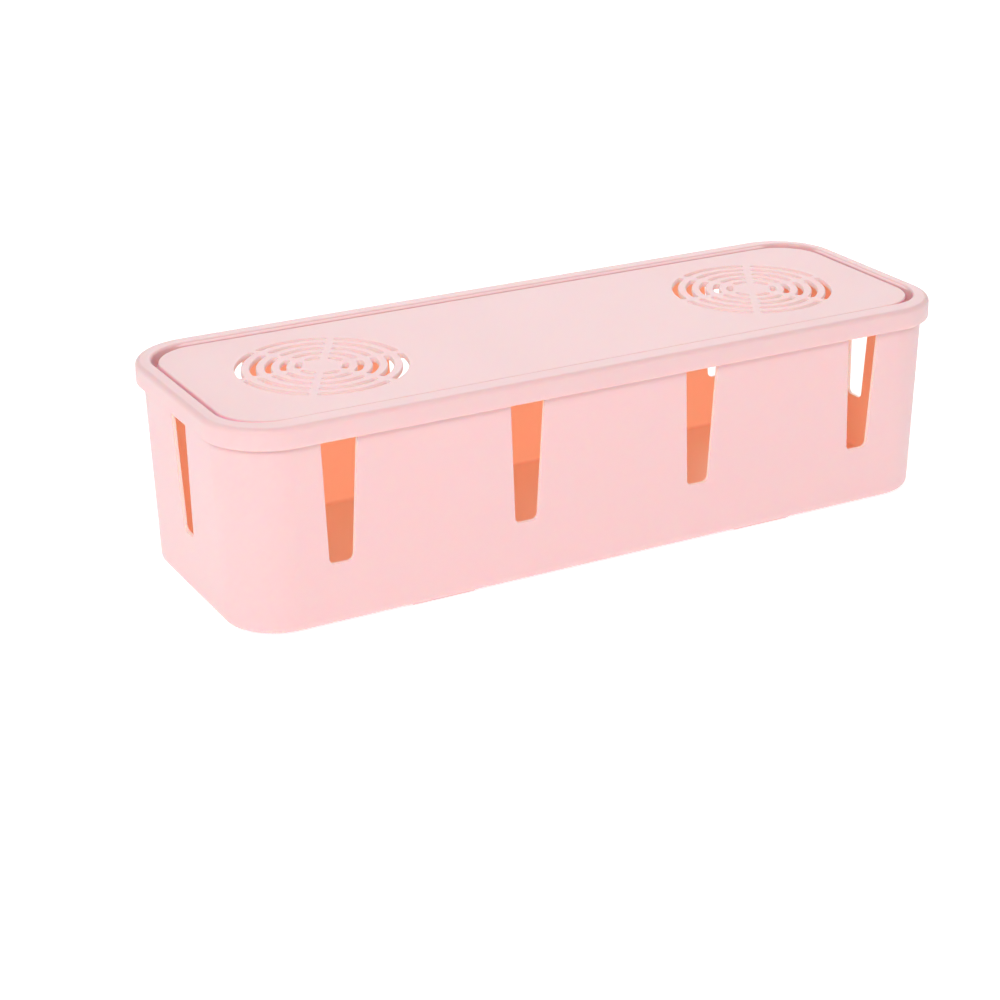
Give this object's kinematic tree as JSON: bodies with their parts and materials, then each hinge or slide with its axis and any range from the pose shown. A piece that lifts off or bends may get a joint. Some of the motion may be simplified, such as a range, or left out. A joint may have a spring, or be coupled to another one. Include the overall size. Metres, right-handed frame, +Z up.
{
  "type": "cable management box",
  "caption": "Long low plastic box that hides a power strip and its cords, with cord notches in its walls and a lift-off lid with round vents.",
  "frame": {"origin": "middle of the footprint, on the surface that the feet stand on", "axes": "+X along the box, +Y towards its back, +Z up"},
  "size_m": [0.265, 0.095, 0.07],
  "materials": {
    "tub_plastic": "satin, moulded",
    "lid_plastic": "satin, moulded"
  },
  "bodies": {
    "tub": {"tub": "tub_plastic"},
    "lid": {"lid": "lid_plastic"}
  },
  "joints": [
    {"name": "lid_lift", "type": "slide", "parent": "tub", "child": "lid", "axis": [0, 0, 1], "range_m": [0, 0.08]}
  ]
}
